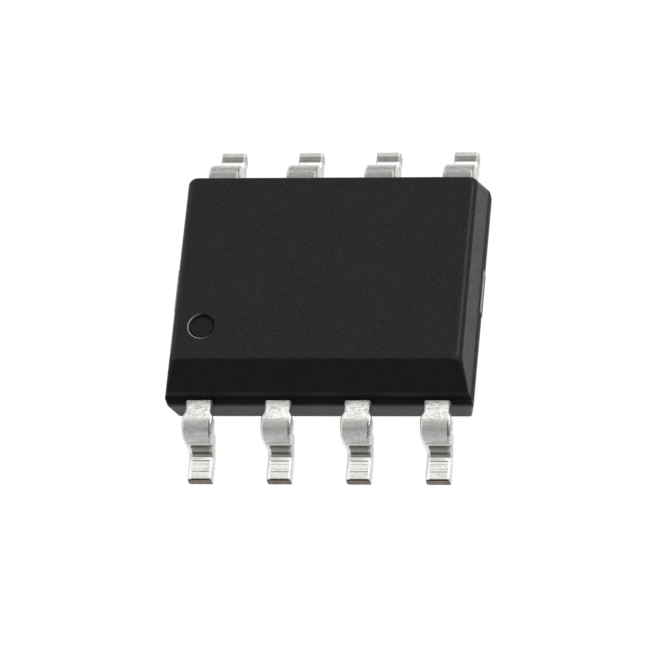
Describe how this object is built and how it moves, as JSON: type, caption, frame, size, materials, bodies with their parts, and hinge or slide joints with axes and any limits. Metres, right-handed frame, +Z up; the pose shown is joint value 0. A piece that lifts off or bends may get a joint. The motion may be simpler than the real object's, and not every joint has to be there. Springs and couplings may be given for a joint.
{
  "type": "small-outline surface-mount chip package",
  "caption": "Black moulded chip package with a bevelled edge, a round mark by lead one and two rows of bent tin-plated leads to solder flat on a board.",
  "frame": {"origin": "middle of the seating plane, under the centre of the body", "axes": "+X along the lead rows, +Y across the rows away from leads 1 to 4, +Z up out of the top face"},
  "size_m": [0.005, 0.006, 0.0015],
  "materials": {
    "moulding": "matte moulded epoxy with fine grain",
    "tinned_leads": "matte tin plate over copper alloy, bare copper at the cut toes",
    "leadframe_copper": "bare rolled copper alloy",
    "attach_epoxy": "silver-filled epoxy",
    "silicon": "polished silicon under clear passivation",
    "bond_gold": "drawn gold wire"
  },
  "bodies": {
    "root": {"body": "moulding", "lead_1": "tinned_leads", "lead_2": "tinned_leads", "lead_3": "tinned_leads", "lead_4": "tinned_leads", "lead_5": "tinned_leads", "lead_6": "tinned_leads", "lead_7": "tinned_leads", "lead_8": "tinned_leads", "die_pad": "leadframe_copper", "die_attach": "attach_epoxy", "die": "silicon", "bond_wire_1": "bond_gold", "bond_wire_2": "bond_gold", "bond_wire_3": "bond_gold", "bond_wire_4": "bond_gold", "bond_wire_5": "bond_gold", "bond_wire_6": "bond_gold", "bond_wire_7": "bond_gold", "bond_wire_8": "bond_gold"}
  },
  "joints": []
}
